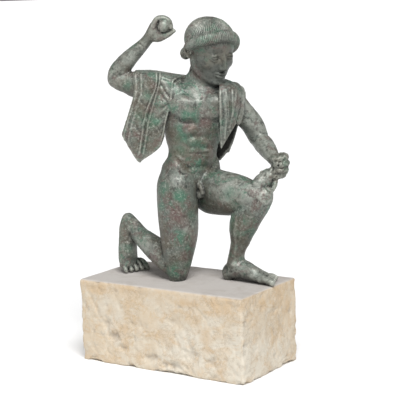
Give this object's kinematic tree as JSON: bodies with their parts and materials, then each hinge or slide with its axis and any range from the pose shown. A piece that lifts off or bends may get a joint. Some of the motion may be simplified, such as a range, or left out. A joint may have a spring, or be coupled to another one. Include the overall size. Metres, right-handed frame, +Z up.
{
  "type": "bronze warrior statuette",
  "caption": "Kneeling nude youth in green-patinated cast bronze, one arm raised with a round stone, short cloak on the shoulders, on a rough limestone block.",
  "frame": {"origin": "centre of the limestone block's flat underside", "axes": "+Z up, +X along the block's length the way the figure strides, -Y the block's front long face, towards which the chest turns"},
  "size_m": [0.3201, 0.1999, 0.549],
  "materials": {
    "green_bronze": "dark green-grey bronze patina with malachite green and reddish-brown patches, worn pale on raised parts",
    "limestone": "rough cream limestone with ochre stains, pits and tool marks"
  },
  "bodies": {
    "root": {"bronze_warrior": "green_bronze", "limestone_block": "limestone"}
  },
  "joints": []
}
